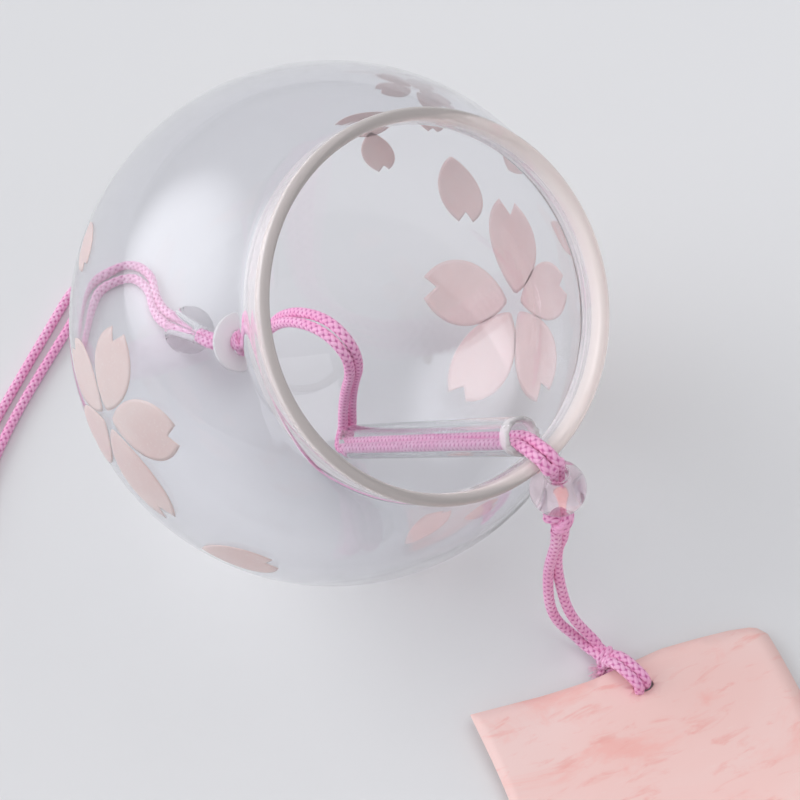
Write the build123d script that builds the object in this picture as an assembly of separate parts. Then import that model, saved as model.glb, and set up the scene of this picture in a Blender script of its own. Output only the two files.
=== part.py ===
from build123d import *
import os
from math import cos, pi, radians, sin, sqrt, tan

# Furin wind bell, lying tipped on a flat surface. Millimetres, +Z up.
# The origin is the globe's lowest point, where it rests. +X is the way the mouth faces, seen from above.
# The bell's own frame has its Z along the bell's axis towards the mouth, and its X towards the lip's
# lowest point.

# Glass bell
globe_d = 70.0
globe_wall = 1.5
wall_shift = 0.32          # the inner sphere's centre lies this far towards the pole: thin pole, thick mouth
crown_hole_d = 4.4
neck_bore_d = 44.6
neck_wall = 1.5
neck_blend = 2.5
neck_height = 4.34         # from the globe's surface to the lip bead's centre circle
lip_d = 2.0
rise = 50.5                # degrees, slope of the bell's axis

# Painted blossoms
paint = 0.08
paint_gap = 0.02
petal_length = 14.1
petal_width = 9.8
loose_length = 8.6
loose_width = 5.6
flower_heart = 1.6         # from a flower's middle to where a full petal starts

# Cord
strand_d = 1.5
strand_pitch = 1.6         # the two strands lie side by side
squeezed_d = 1.1           # a strand where a bead or the tie squeezes it
squeezed_pitch = 1.16
arc_share = 0.45

# Crown: washer and knot inside the pole
washer_d = 9.0
washer_hole_d = 3.6
washer_thickness = 0.8
seat_gap = 0.05
crown_knot_d = 4.6
crown_knot_height = 3.8
knot_face_d = 3.2
hole_run_share = 1.6       # the strands run this share of their diameter straight out of the pole's hole

# Clapper tube
tube_d = 5.0
tube_bore = 3.6
tube_foot_gap = 5.5        # from the lower end's outer edge to the globe's inner wall, along the tube
tube_end_inside = 1.4      # the upper end stops this far short of the lip's centre circle
lip_clearance = 0.1
strand_sag = 0.5           # the strands lie this far below the tube's axis

# Beads
bead_d = 7.2
bead_bore = 2.5
bead_lip_gap = 0.35
bead_globe_gap = 1.2
bead_tilt = 8.0            # degrees, lean of the lower bead's bore
core_overhang = 0.1
lower_knot_d = 4.3
lower_knot_height = 4.8
over_lip_slopes = (84, 30)  # degrees above level, from the lip's centre to the strands' two corners over it
over_lip_share = 0.95      # those corners lie this share of a strand outside the lip
tube_lead_share = 1.15     # the strands run this share of their diameter straight out of the tube
top_bead_reach = 9.6       # from the pole to the top bead's centre, level
top_bead_side = 1.8
top_bead_dip = 24.2        # degrees, slope of the top bead's bore

# Paper strip and its tie
paper_width = 44.0
paper_length = 130.0
paper_thickness = 0.3
paper_hole_d = 3.2
paper_hole_inset = 4.2
paper_hole_off = 2.0       # the hole's place beside the strip's middle
paper_heading = -23.8      # degrees, way the strip runs, seen from above
paper_lift = 1.95          # the paper's underside over the tie
paper_edge_x = 52.6        # middle of the tied edge
paper_edge_y = 1.9
tie_knot_d = 3.5
tie_knot_face_d = 3.2
tie_knot_length = 2.4
tie_knot_x = 49.9
tie_knot_y = 2.05
tie_leg_d = 1.3
tie_leg_pitch = 1.36

# The strip's underside: share of its length, and share of the lift
paper_wave_shares = [(0.0, 1.0), (0.05, 0.98), (0.12, 0.45), (0.2, 0.04), (0.33, 0.75), (0.46, 0.5),
                     (0.58, 0.02), (0.72, 0.6), (0.85, 0.35), (1.0, 0.0)]

# A petal's right half: share of its length from the base, and share of its half width
petal_side_shares = [(0.0, 0.08), (0.12, 0.42), (0.32, 0.82), (0.57, 1.0), (0.82, 0.84), (1.0, 0.36)]
petal_notch_share = 0.84

# The tie's legs: share of the way from the tie knot to the paper's hole
tie_over_shares = [0.04, 0.16, 0.62, 1.0]
tie_under_shares = [1.0, 0.66, 0.3]

# Flowers: latitude towards the mouth and longitude from the lip's lowest point, both in degrees,
# then for each petal its bearing from the mouth's way, in degrees, and its share of the full length
flowers = [
    (-13.7, 59.8, [(72, 1.0), (164, 1.04), (-130, 1.1), (-63, 1.0), (6, 0.88)]),
    (3.5, 122.0, [(155, 0.42), (85, 0.4), (15, 0.42), (-50, 0.4), (-108, 0.42)]),
    (5.0, -106.9, [(-54, 0.8), (18, 0.84), (91, 0.95), (163, 0.82), (-126, 0.8)]),
]

# Loose petals: latitude, longitude, bearing, share of the full length
loose_petals = [
    (-16.9, 91.8, -118, 1.36), (-27.1, 113.0, -128, 0.9), (9.1, 94.0, 20, 0.75), (15.1, 73.7, -40, 0.8),
    (-13.5, -4.4, 92, 1.02), (-0.2, 3.7, 40, 0.7), (8.3, -65.6, 33, 1.38), (-3.2, -143.8, 60, 0.9),
    (-20.8, 121.0, 150, 1.0), (-6.0, 112.5, -135, 0.8),
]

# Routes of the strands, in millimetres. Each list is one strand.
inner_route_near = [(-14.6, -0.8, 17.6), (-12.1, -0.8, 23.4), (-7.4, -0.8, 29.0), (-1.4, -1.0, 32.6),
                    (2.7, -0.8, 31.3), (3.1, -0.1, 26.6), (1.5, 0.3, 20.3), (0.4, 0.7, 14.5), (-0.1, 0.9, 9.8),
                    (-0.3, 1.0, 6.8), (-0.4, 0.6, 5.0), (0.1, -0.4, 3.9), (1.0, -0.8, 4.2)]
inner_route_far = [(-14.9, 0.8, 17.8), (-12.7, 0.9, 23.9), (-7.9, 1.0, 29.8), (-1.7, 0.8, 34.2),
                   (2.8, 0.6, 32.9), (3.3, 1.4, 27.0), (1.5, 2.0, 20.3), (0.4, 2.4, 14.5), (0.0, 2.6, 9.8),
                   (0.0, 2.6, 6.7), (0.5, 2.0, 4.9), (1.2, 1.1, 4.7)]
strip_route_near = [(41.2, -0.8, 23.0), (40.6, -0.8, 17.8), (40.4, -0.7, 12.6), (41.2, -0.5, 7.4),
                    (42.9, -0.1, 3.3), (45.0, 0.6, 1.4), (46.8, 1.1, 1.2)]
strip_route_far = [(41.2, 0.8, 23.2), (40.7, 0.8, 18.8), (41.4, 0.9, 13.8), (43.0, 1.2, 8.9),
                   (44.4, 1.9, 5.0), (45.7, 2.6, 2.8), (46.8, 2.9, 2.0)]
loop_route = [(-38.9, -0.2, 0.9), (-41.6, 1.1, 0.8), (-44.6, 2.7, 0.8), (-47.7, 3.2, 0.8), (-50.4, 1.9, 0.8),
              (-51.8, -1.0, 0.8), (-51.9, -5.0, 0.8), (-50.7, -9.8, 0.8), (-48.6, -14.8, 0.8),
              (-46.4, -20.0, 0.8), (-44.2, -25.6, 0.8), (-41.9, -31.4, 0.8), (-39.5, -37.8, 0.8),
              (-36.9, -44.4, 0.8), (-34.9, -50.4, 0.8), (-33.3, -55.6, 0.8), (-30.0, -59.3, 0.8),
              (-26.2, -58.2, 0.8), (-25.5, -54.1, 0.8), (-28.4, -48.8, 0.8), (-32.6, -43.3, 0.8),
              (-36.7, -37.2, 0.8), (-39.9, -31.1, 0.8), (-42.3, -25.4, 0.8), (-44.3, -19.6, 0.8),
              (-46.2, -14.0, 0.8), (-48.3, -8.9, 0.8), (-50.0, -4.2, 0.8), (-49.9, -0.8, 0.8),
              (-48.3, 1.3, 0.8), (-45.4, 1.1, 0.8), (-42.2, -0.6, 0.8), (-39.2, -1.9, 0.9)]
tail_routes = [[(49.6, 0.28, 1.1), (49.7, -1.3, 0.75), (49.4, -3.3, 0.75)],
               [(50.8, 0.28, 1.1), (51.2, -1.2, 0.75), (52.1, -2.7, 0.75)]]

globe_r = globe_d / 2
inner_globe_r = globe_r - globe_wall
neck_bore_r = neck_bore_d / 2
neck_r = neck_bore_r + neck_wall
lip_r = lip_d / 2
lip_centre_r = neck_bore_r + lip_r
lip_height = sqrt(globe_r ** 2 - neck_r ** 2) + neck_height
tube_r = tube_d / 2
bead_r = bead_d / 2
side = Vector(0, 1, 0)
up = Vector(0, 0, 1)

bell_place = Location((0, 0, globe_r), (0, 90 - rise, 0))


def on_bell(out, height):
    """A point of the bell's symmetry plane: out from its axis towards the low lip, and up its axis."""
    slope = radians(rise)
    return Vector(out * sin(slope) + height * cos(slope), 0, globe_r - out * cos(slope) + height * sin(slope))


def heading(turn, slope):
    """A unit direction: its turn from +X seen from above, and its slope above level, in degrees."""
    return Vector(cos(radians(turn)) * cos(radians(slope)), sin(radians(turn)) * cos(radians(slope)),
                  sin(radians(slope)))


bell_axis = heading(0, rise)
lip_low = on_bell(lip_centre_r, lip_height)
pole = on_bell(0, -globe_r)


def strand(points, diameter, name):
    """One strand: straight runs joined by the largest tangent arcs that its runs allow."""
    corners = [Vector(*point) for point in points]
    radii = []
    for before, corner, after in zip(corners, corners[1:], corners[2:]):
        arrive = corner - before
        leave = after - corner
        half_turn = radians(arrive.get_angle(leave)) / 2
        radii.append(arc_share * min(arrive.length, leave.length) / tan(half_turn))
    path = FilletPolyline(*corners, radius=radii) if radii else Line(*corners)
    tube = sweep(Plane(origin=corners[0], z_dir=corners[1] - corners[0]) * Circle(diameter / 2), path=path)
    full = pi * diameter ** 2 / 4 * path.length
    print(name, "length", round(path.length, 1), "volume share", round(tube.volume / full, 4),
          "radii", [round(radius, 1) for radius in radii])
    return tube


def straight(start, end, diameter):
    """A straight round bar from one point to another."""
    along = end - start
    return extrude(Plane(origin=start, z_dir=along) * Circle(diameter / 2), amount=along.length)


def arc_about(centre, radius, start_angle, end_angle):
    """A circular arc in the profile plane, angles in degrees from the +X way."""
    def at(angle):
        return Vector(centre.X + radius * cos(radians(angle)), 0, centre.Z + radius * sin(radians(angle)))
    return ThreePointArc(at(start_angle), at((start_angle + end_angle) / 2), at(end_angle))


def angle_of(point, centre):
    """The angle of a profile point about a centre, in degrees from the +X way."""
    return Vector(1, 0, 0).get_signed_angle(point - centre, Vector(0, -1, 0))


def knot(place_at, along, diameter, height, face_d):
    """A tied knot as a rounded barrel with a flat face at each end, where the strands go in and out."""
    barrel = extrude(Circle(diameter / 2), amount=height)
    barrel = fillet(barrel.edges().filter_by(GeomType.CIRCLE), (diameter - face_d) / 2)
    return Plane(origin=place_at, z_dir=along).location * barrel


def pair(start, end, across, diameter, pitch):
    """Two straight strands side by side."""
    return [straight(start + across * (share * pitch), end + across * (share * pitch), diameter)
            for share in (-0.5, 0.5)]


def save(name, shapes):
    """Write one node, which may hold several separate solids."""
    solids = [solid for shape in shapes for solid in shape.solids()]
    shape = solids[0] if len(solids) == 1 else Compound(children=solids)
    export_step(shape, "parts/" + name + ".step")


def glass_bell():
    """Globe, short open neck and rolled lip as one turned shell, with the hole at its pole."""
    centre = Vector(0, 0, 0)
    inner_centre = Vector(0, 0, -wall_shift)
    hole_r = crown_hole_d / 2
    blend_out = neck_r + neck_blend
    outer_blend = Vector(blend_out, 0, sqrt((globe_r + neck_blend) ** 2 - blend_out ** 2))
    inner_blend_r = neck_blend + neck_wall
    inner_blend_out = neck_bore_r + inner_blend_r
    inner_blend = Vector(inner_blend_out, 0,
                         sqrt((inner_globe_r + inner_blend_r) ** 2 - inner_blend_out ** 2) - wall_shift)
    lip_centre = Vector(lip_centre_r, 0, lip_height)
    outer_hole = Vector(hole_r, 0, -sqrt(globe_r ** 2 - hole_r ** 2))
    inner_hole = Vector(hole_r, 0, -sqrt(inner_globe_r ** 2 - hole_r ** 2) - wall_shift)
    neck_join = Vector(neck_r, 0, lip_height - sqrt(lip_r ** 2 - (neck_r - lip_centre_r) ** 2))
    neck_start = Vector(neck_r, 0, outer_blend.Z)
    inner_start = Vector(neck_bore_r, 0, inner_blend.Z)
    outline = [
        arc_about(centre, globe_r, angle_of(outer_hole, centre), angle_of(outer_blend, centre)),
        arc_about(outer_blend, neck_blend, angle_of(centre, outer_blend) + 360, 180),
        Line(neck_start, neck_join),
        arc_about(lip_centre, lip_r, angle_of(neck_join, lip_centre), 180),
        Line(Vector(neck_bore_r, 0, lip_height), inner_start),
        arc_about(inner_blend, inner_blend_r, 180, angle_of(inner_centre, inner_blend) + 360),
        arc_about(inner_centre, inner_globe_r, angle_of(inner_blend, inner_centre),
                  angle_of(inner_hole, inner_centre)),
        Line(inner_hole, outer_hole),
    ]
    return bell_place * revolve(make_face(outline), axis=Axis.Z)


def petal_face(length, width):
    """A cherry petal's outline: narrow base at the origin, widest past the middle, notched tip."""
    right = [(along * length, share * width / 2) for along, share in petal_side_shares]
    left = [(along, -out) for along, out in right]
    notch = (petal_notch_share * length, 0)
    return make_face([Spline(*right), Line(right[-1], notch), Line(notch, left[-1]), Spline(*reversed(left)),
                      Line(left[0], right[0])])


def painted(shell, latitude, longitude, bearing, start, length, width):
    """One petal of paint on the globe, its base start millimetres from the given place."""
    outward = heading(longitude, latitude)
    to_mouth = heading(longitude, latitude + 90)
    eastward = heading(longitude + 90, 0)
    along = to_mouth * cos(radians(bearing)) + eastward * sin(radians(bearing))
    spot = Plane(origin=outward * (globe_r - length), x_dir=along, z_dir=outward)
    outline = spot * (Pos(start, 0) * petal_face(length, width))
    return extrude(outline, amount=length + globe_wall, dir=outward) & shell


def blossom_paint():
    """Three flowers of five petals and the loose petals, each a thin patch on the globe."""
    inner = globe_r + paint_gap
    shell = Sphere(inner + paint) - Sphere(inner)
    patches = []
    for latitude, longitude, petals in flowers:
        for bearing, share in petals:
            patches.append(painted(shell, latitude, longitude, bearing, flower_heart * share,
                                   petal_length * share, petal_width * share))
    for latitude, longitude, bearing, share in loose_petals:
        length = loose_length * share
        patches.append(painted(shell, latitude, longitude, bearing, -length / 2, length, loose_width * share))
    return [bell_place * patch for patch in patches]


washer_floor = -wall_shift - sqrt(inner_globe_r ** 2 - (washer_d / 2) ** 2) + seat_gap
washer_top = washer_floor + washer_thickness
crown_knot_floor = washer_top + seat_gap


def crown_washer():
    """Flat disc over the hole, its lower edge on the inner wall."""
    ring = Circle(washer_d / 2) - Circle(washer_hole_d / 2)
    return bell_place * (Pos(0, 0, washer_floor) * extrude(ring, amount=washer_thickness))


def inner_cord():
    """The two strands that rise from the crown knot and fall to the tube's lower end."""
    knot_top = on_bell(0, crown_knot_floor + crown_knot_height)
    mouth = tube_lower + low_way * strand_sag
    routes = []
    for route, share in ((inner_route_near, -0.5), (inner_route_far, 0.5)):
        offset = side * (share * strand_pitch)
        into = [mouth + offset - bell_axis * strand_d, mouth + offset]
        lead = [knot_top + offset, knot_top + offset + bell_axis * strand_d]
        routes.append(lead + [Vector(*point) for point in route] + into)
    return [strand(route, strand_d, "inner_cord") for route in routes]


tube_out = lip_centre_r - lip_r - tube_r - lip_clearance
tube_foot_height = tube_foot_gap - wall_shift - sqrt(inner_globe_r ** 2 - (tube_out + tube_r) ** 2)
tube_top_height = lip_height - tube_end_inside
tube_length = tube_top_height - tube_foot_height
tube_upper = on_bell(tube_out, tube_top_height)
tube_lower = on_bell(tube_out, tube_foot_height)
low_way = heading(0, rise - 90)


def clapper_tube():
    """Straight glass tube that leans on the lip, parallel to the bell's axis."""
    ring = Circle(tube_r) - Circle(tube_bore / 2)
    tube = extrude(ring, amount=tube_length)
    ends = tube.edges().filter_by(GeomType.CIRCLE)
    place = Plane(origin=tube_lower, x_dir=side, z_dir=bell_axis).location
    return place * fillet(ends, (tube_r - tube_bore / 2) / 4)


bore_way = heading(0, bead_tilt - 90)
globe_centre = on_bell(0, 0)
from_lip = lip_r + bead_r + bead_lip_gap
from_globe = globe_r + bead_r + bead_globe_gap
lip_reach = lip_low - globe_centre
bead_along = (lip_reach.length ** 2 + from_globe ** 2 - from_lip ** 2) / (2 * lip_reach.length)
bead_below = sqrt(from_globe ** 2 - bead_along ** 2)
under_lip = side.cross(lip_reach.normalized())
lower_bead_centre = globe_centre + lip_reach.normalized() * bead_along + under_lip * bead_below
bead_face = bead_r + core_overhang
top_bead_centre = Vector(pole.X - top_bead_reach, -top_bead_side, bead_r)
top_way = heading(180, -top_bead_dip)


def bead(centre, way):
    """Round bead with a through bore."""
    ball = Sphere(bead_r) - Cylinder(bead_bore / 2, bead_d)
    return Plane(origin=centre, x_dir=side, z_dir=way).location * ball


def crown_cord():
    """The two strands from the crown knot out through the hole to the top bead."""
    start = on_bell(0, crown_knot_floor)
    outside = on_bell(0, -globe_r - strand_d * hole_run_share)
    bead_entry = top_bead_centre - top_way * bead_face
    before_bead = bead_entry - top_way * strand_d
    middle = (outside + before_bead) * 0.5 - side * (top_bead_side / 4) + up * (strand_d / 4)
    strands = []
    for share in (-0.5, 0.5):
        offset = side * (share * strand_pitch)
        route = [point + offset for point in (start, outside, middle, before_bead, bead_entry)]
        strands.append(strand(route, strand_d, "crown_cord"))
    return strands


def hanging_loop():
    """The folded end of the cord, out of the top bead and back into it."""
    exit_point = top_bead_centre + top_way * bead_face
    ahead = top_way * strand_d
    far = side * (strand_pitch / 2)
    lead = [exit_point + far, exit_point + far + ahead]
    back = [exit_point - far + ahead, exit_point - far]
    return strand(lead + [Vector(*point) for point in loop_route] + back, strand_d, "hanging_loop")


def rim_cord():
    """The two strands from the tube's mouth over the lip to the lower bead."""
    start = tube_upper + low_way * strand_sag
    ahead = start + bell_axis * (strand_d * tube_lead_share)
    over_lip = lip_r + strand_d * over_lip_share
    over, outside = [lip_low + heading(0, slope) * over_lip for slope in over_lip_slopes]
    entry = lower_bead_centre - bore_way * bead_face
    above = entry - bore_way * (strand_d / 2)
    strands = []
    for share in (-0.5, 0.5):
        offset = side * (share * strand_pitch)
        route = [point + offset for point in (start, ahead, over, outside, above, entry)]
        strands.append(strand(route, strand_d, "rim_cord"))
    return strands


lower_knot_start = lower_bead_centre + bore_way * bead_face
lower_knot_end = lower_knot_start + bore_way * lower_knot_height
tie_knot_centre = Vector(tie_knot_x, tie_knot_y, tie_knot_d / 2 + seat_gap)
tie_way = Vector(1, 0, 0)
tie_left = tie_knot_centre - tie_way * (tie_knot_length / 2)
tie_right = tie_knot_centre + tie_way * (tie_knot_length / 2)


def strip_cord():
    """The two strands from the lower knot down to the tie at the paper's edge."""
    strands = []
    for route, share in ((strip_route_near, -0.5), (strip_route_far, 0.5)):
        start = lower_knot_end + side * (share * strand_pitch)
        end = tie_left + side * (share * strand_pitch)
        lead = [start, start + bore_way * (strand_d * 2)]
        into = [end - tie_way * (strand_d / 2), end]
        strands.append(strand(lead + [Vector(*point) for point in route] + into, strand_d, "strip_cord"))
    return strands


paper_way = heading(paper_heading, 0)
paper_across = heading(paper_heading + 90, 0)
paper_edge = Vector(paper_edge_x, paper_edge_y, 0)
paper_hole = paper_edge + paper_way * paper_hole_inset + paper_across * paper_hole_off


def tie_loop():
    """The squeezed strands that pass over the paper's edge, down its hole and back under it."""
    top = tie_knot_centre.Z + tie_leg_pitch / 2
    low = tie_knot_centre.Z - tie_leg_pitch / 2
    above = paper_lift + paper_thickness + tie_leg_d
    reach = paper_hole - tie_right
    heights = [top, top, above + tie_leg_d / 5, above + tie_leg_d / 4, above - tie_leg_d / 5,
               low - tie_leg_d / 5, low - tie_leg_d / 8, low, low]
    shares = [0] + tie_over_shares + tie_under_shares + [0]
    legs = []
    for leg_share in (-0.5, 0.5):
        offset = side * (leg_share * tie_leg_pitch)
        points = [Vector(tie_right.X + along * reach.X, tie_right.Y, height) + offset
                  for along, height in zip(shares, heights)]
        legs.append(strand(points, tie_leg_d, "tie_loop"))
    return legs


def cord_tails():
    """The two short ends that stick out of the tie."""
    return [strand(route, tie_leg_d, "cord_tails") for route in tail_routes]


def paper_strip():
    """Long gently waved sheet with a hole near its tied edge."""
    under = [(share * paper_length, lift * paper_lift) for share, lift in paper_wave_shares]
    over = [(along, height + paper_thickness) for along, height in under]
    outline = make_face([Spline(*under), Line(under[-1], over[-1]), Spline(*reversed(over)),
                         Line(over[0], under[0])])
    corner = paper_edge - paper_across * (paper_width / 2)
    sheet = extrude(Plane(origin=corner, x_dir=paper_way, z_dir=-paper_across) * outline, amount=-paper_width)
    hole = Pos(paper_hole.X, paper_hole.Y, 0) * Cylinder(paper_hole_d / 2, paper_lift * 8)
    return sheet - hole


os.makedirs("parts", exist_ok=True)
save("glass_bell", [glass_bell()])
save("blossom_paint", blossom_paint())
save("crown_washer", [crown_washer()])
save("crown_knot", [knot(on_bell(0, crown_knot_floor), bell_axis, crown_knot_d, crown_knot_height,
                         knot_face_d)])
save("crown_cord", crown_cord())
save("top_bead", [bead(top_bead_centre, top_way)])
save("top_bead_core", pair(top_bead_centre - top_way * bead_face, top_bead_centre + top_way * bead_face, side,
                           squeezed_d, squeezed_pitch))
save("hanging_loop", [hanging_loop()])
save("inner_cord", inner_cord())
save("tube_cord", pair(tube_lower + low_way * strand_sag, tube_upper + low_way * strand_sag, side, strand_d,
                       strand_pitch))
save("clapper_tube", [clapper_tube()])
save("rim_cord", rim_cord())
save("lower_bead", [bead(lower_bead_centre, bore_way)])
save("lower_bead_core", pair(lower_bead_centre - bore_way * bead_face, lower_knot_start, side, squeezed_d,
                             squeezed_pitch))
save("lower_knot", [knot(lower_knot_start, bore_way, lower_knot_d, lower_knot_height, knot_face_d)])
save("strip_cord", strip_cord())
save("tie_knot", [knot(tie_left, tie_way, tie_knot_d, tie_knot_length, tie_knot_face_d)])
save("tie_loop", tie_loop())
save("cord_tails", cord_tails())
save("paper_strip", [paper_strip()])
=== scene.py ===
"""A small glass wind bell lying on a table, with its cord, beads, clapper tube and paper strip.

Everything is in metres, +Z up. The origin is the globe's lowest point, and +X is the way the mouth faces
seen from above.
"""

import random
from math import atan2, cos, degrees, hypot, pi, radians, sin, sqrt

import bmesh
import bpy
import numpy as np
from mathutils import Matrix, Vector, geometry, noise


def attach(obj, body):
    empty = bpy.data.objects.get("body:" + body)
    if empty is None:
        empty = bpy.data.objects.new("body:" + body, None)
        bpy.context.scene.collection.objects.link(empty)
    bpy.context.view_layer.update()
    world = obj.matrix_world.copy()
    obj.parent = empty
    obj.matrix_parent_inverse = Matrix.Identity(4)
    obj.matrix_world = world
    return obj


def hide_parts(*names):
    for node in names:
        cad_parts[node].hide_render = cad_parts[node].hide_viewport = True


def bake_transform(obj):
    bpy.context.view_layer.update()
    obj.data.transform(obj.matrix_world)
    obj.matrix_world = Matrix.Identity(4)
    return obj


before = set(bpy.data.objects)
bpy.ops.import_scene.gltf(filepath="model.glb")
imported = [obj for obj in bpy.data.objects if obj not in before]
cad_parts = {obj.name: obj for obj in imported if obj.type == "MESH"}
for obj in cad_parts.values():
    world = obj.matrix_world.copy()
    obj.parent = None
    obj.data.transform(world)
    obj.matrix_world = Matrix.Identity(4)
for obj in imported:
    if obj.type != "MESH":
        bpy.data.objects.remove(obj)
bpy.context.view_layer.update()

mm = 0.001
hair = 0.05 * mm

# Glass bell
globe_r = 35 * mm
globe_wall = 0.8 * mm
wall_shift = 0.2 * mm
wall_waves = 0.05 * mm
crown_hole_r = 2.2 * mm
hole_edge = 0.32 * mm
neck_bore_r = 22.3 * mm
thin_neck = 1.15 * mm
neck_blend = 2.5 * mm
lip_height = 30 * mm
lip_r = 1 * mm
rolled_r = 0.8 * mm
lip_centre_height = lip_height + lip_r - rolled_r
# Depths below the lip's centre where the glass turns part milky white: painted light on the thick neck and lip
painted_light_neck = 4.2 * mm
painted_light_lip = 1.2 * mm
rise = radians(50.5)

# Cord
strand_d = 1.5 * mm
strand_pitch = 1.6 * mm
squeezed_d = 1.1 * mm
squeezed_pitch = 1.16 * mm
yarns = 4
gap_spacing = 1.12 * mm
yarn_roundness = 0.6
yarn_crossing = 0.25
braid_relief = 0.2
rim_slide = 0.7 * mm

# Tube
tube_r = 2.5 * mm
tube_bore_r = 1.8 * mm
tube_length = 48.5 * mm
tube_gap = 0.1 * mm
tube_below_lip = 1.4 * mm
broken_length = 1.5 * mm
strand_sag = 0.5 * mm

# Beads, washer and knots
bead_r = 3.6 * mm
bead_bore_r = 1.25 * mm
bead_face = 3.7 * mm
lower_bead_tilt = radians(8)
top_bead_tilt = radians(24.2)
washer_r = 4.5 * mm
washer_hole_r = 1.8 * mm
washer_thickness = 0.8 * mm
crown_knot_d = 4.6 * mm
crown_knot_height = 3.8 * mm
lower_knot_d = 4.3 * mm
lower_knot_height = 4.8 * mm
tie_knot_d = 3.5 * mm
tie_knot_length = 2.4 * mm
tie_leg_d = 1.5 * mm
tie_leg_pitch = 1.42 * mm

# Blossoms
paint_lift = 0.03 * mm
paint_thickness = 0.08 * mm
petal_length = 14.1 * mm
petal_width = 9.8 * mm
loose_length = 8.6 * mm
loose_width = 5.6 * mm
flower_heart = 1.6 * mm

# Paper strip
paper_width = 44 * mm
paper_length = 130 * mm
paper_thickness = 0.3 * mm
paper_hole_r = 1.55 * mm
paper_hole_half = 0.85 * mm
paper_hole_inset = 4.2 * mm
paper_hole_off = 2 * mm
paper_lift = 1.95 * mm
paper_turn = radians(-23.8)

globe_centre = Vector((0, 0, globe_r))
bell_axis = Vector((cos(rise), 0, sin(rise)))
low_way = Vector((sin(rise), 0, -cos(rise)))
side = Vector((0, 1, 0))
up = Vector((0, 0, 1))


def along_axes(origin, across, over, along):
    """The placing matrix of a part whose own X, Y and Z lie across, over and along."""
    return Matrix.Translation(origin) @ Matrix((across, over, along)).transposed().to_4x4()


def on_bell(out, height):
    """A point of the bell's symmetry plane: out from its axis towards the low lip, and up its axis."""
    return globe_centre + low_way * out + bell_axis * height


bell_place = along_axes(globe_centre, low_way, side, bell_axis)
lip_low = on_bell(neck_bore_r + lip_r, lip_height)
pole = on_bell(0, -globe_r)

tube_upper = on_bell(neck_bore_r - tube_r - tube_gap, lip_height - tube_below_lip)
tube_lower = tube_upper - bell_axis * tube_length
tube_line_low = tube_lower + low_way * strand_sag
tube_line_high = tube_upper + low_way * strand_sag

bore_way = Vector((sin(lower_bead_tilt), 0, -cos(lower_bead_tilt)))
lower_bead_centre = Vector((0.039588, 0, 0.039072))
lower_knot_start = lower_bead_centre + bore_way * bead_face
lower_knot_end = lower_knot_start + bore_way * lower_knot_height
top_bead_centre = pole + Vector((-9.6 * mm, -1.8 * mm, bead_r - pole.z))
top_way = Vector((-cos(top_bead_tilt), 0, -sin(top_bead_tilt)))

washer_floor = -wall_shift - sqrt((globe_r - globe_wall) ** 2 - washer_r ** 2) + hair
crown_knot_floor = washer_floor + washer_thickness + hair
crown_knot_top = on_bell(0, crown_knot_floor + crown_knot_height)

tie_knot_centre = Vector((50.8 * mm, 1.8 * mm, tie_knot_d / 2 + 2 * hair))
tie_left = tie_knot_centre - Vector((tie_knot_length / 2, 0, 0))
tie_right = tie_knot_centre + Vector((tie_knot_length / 2, 0, 0))

paper_way = Vector((cos(paper_turn), sin(paper_turn), 0))
paper_across = Vector((-sin(paper_turn), cos(paper_turn), 0))
paper_edge = Vector((52.6 * mm, 1.9 * mm, 0))
paper_hole = paper_edge + paper_way * paper_hole_inset + paper_across * paper_hole_off


def in_mm(points):
    """Places given in millimetres."""
    return [tuple(value * mm for value in point) for point in points]


# Routes of the strands, one control point each
inner_routes = {
    "near": in_mm([
        (-14.6, -0.8, 17.6), (-12.1, -0.8, 23.4), (-7.6, -0.8, 29.3), (-1.4, -0.8, 33.1), (2.8, -0.7, 31.9),
        (3.1, -0.1, 26.6), (1.5, 0.3, 20.3), (0.4, 0.7, 14.5), (-0.1, 0.9, 9.8), (-0.3, 1, 6.8), (-0.4, 0.6, 5),
        (0.1, -0.4, 3.9), (1, -0.8, 4.2)]),
    "far": in_mm([
        (-14.9, 0.8, 17.8), (-12.4, 0.8, 23.8), (-7.8, 0.8, 29.7), (-1.7, 0.7, 33.9), (2.8, 0.6, 32.8),
        (3.3, 1.4, 27), (1.5, 2, 20.3), (0.4, 2.4, 14.5), (0, 2.6, 9.8), (0, 2.6, 6.7), (0.5, 2, 4.9),
        (1.2, 1.1, 4.7)]),
}
strip_routes = {
    "near": in_mm([(40.9, -0.8, 24.5), (40.6, -0.9, 19.5), (41.2, -1, 13.5), (42.1, -0.9, 9), (43.4, -0.3, 5.6),
                   (45.2, 0.9, 2.9), (47.5, 1.3, 1.4)]),
    "far": in_mm([(40.5, 0.6, 23.5), (41.1, 0.4, 18.5), (42.5, 0.5, 13.1), (43.6, 0.6, 9.8), (44.9, 1, 7),
                  (46.5, 1.9, 4.1), (48.2, 2.4, 2.5)]),
}
loop_height = 0.8
loop_on_table = [
    (-42.7, 0), (-45.7, 1.7), (-49.3, 1.6), (-52.1, -0.1), (-52.4, -3.2), (-52.4, -6.3), (-51.8, -9.5),
    (-50.1, -13.5), (-48, -18.5), (-45.5, -24.4), (-42.8, -30.6), (-39.7, -37.6), (-36.9, -44.4), (-34.9, -50.4),
    (-33.3, -55.6), (-30, -59.3), (-26.2, -58.2), (-25.5, -54.1), (-28.4, -48.8), (-32.6, -43.3), (-36.7, -37.2),
    (-39.9, -31.1), (-42.4, -25.4), (-44.8, -19.3), (-47.1, -13.4), (-49.1, -9.2), (-50.7, -5.4), (-50, -2),
    (-48, -0.3), (-44.3, -0.1), (-41.7, -1.5),
]
loop_route = in_mm([(-39.6, -0.9, 0.9)] + [(*spot, loop_height) for spot in loop_on_table] + [(-38.9, -2.4, 0.9)])
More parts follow.
